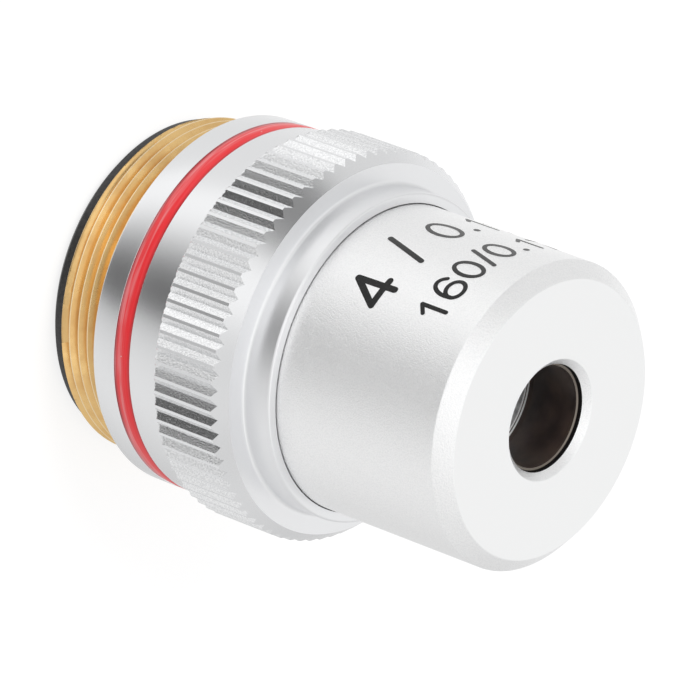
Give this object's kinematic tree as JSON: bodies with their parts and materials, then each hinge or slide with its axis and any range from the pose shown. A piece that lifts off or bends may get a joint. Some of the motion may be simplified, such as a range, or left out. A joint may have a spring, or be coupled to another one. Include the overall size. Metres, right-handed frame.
{
  "type": "microscope objective",
  "caption": "Low-power achromatic microscope objective with a brass mounting thread, a chromed knurled grip, a red magnification band and a satin nose",
  "frame": {"origin": "on the optical axis, in the plane of the mounting shoulder at the front end of the thread", "axes": "+Z along the optical axis from the mounting thread towards the nose and the specimen; +X and +Y complete a right-handed frame, with +X through the side that shows the marking"},
  "size_m": [0.0234, 0.0234, 0.0296],
  "materials": {
    "chromed_brass": "bright chrome over turned brass, left as bare brass on the thread",
    "satin_nose": "fine blasted surface under satin chrome",
    "red_enamel": "glossy enamel laid in a turned groove",
    "bare_brass": "turned brass",
    "blackened_metal": "turned brass chemically blackened to a dull black",
    "coated_glass": "polished optical glass with a single-layer coating"
  },
  "bodies": {
    "root": {"mount_body": "chromed_brass", "colour_band": "red_enamel", "nose_sleeve": "satin_nose", "parfocal_shim": "bare_brass", "front_glare_tube": "blackened_metal", "front_lens_cell": "blackened_metal", "front_flint_lens": "coated_glass", "front_crown_lens": "coated_glass", "front_retaining_ring": "blackened_metal", "spacer_tube": "blackened_metal", "aperture_stop": "blackened_metal", "rear_lens_cell": "blackened_metal", "rear_flint_lens": "coated_glass", "rear_crown_lens": "coated_glass", "rear_retaining_ring": "blackened_metal", "rear_lock_ring": "blackened_metal", "rear_end_ring": "blackened_metal"}
  },
  "joints": []
}
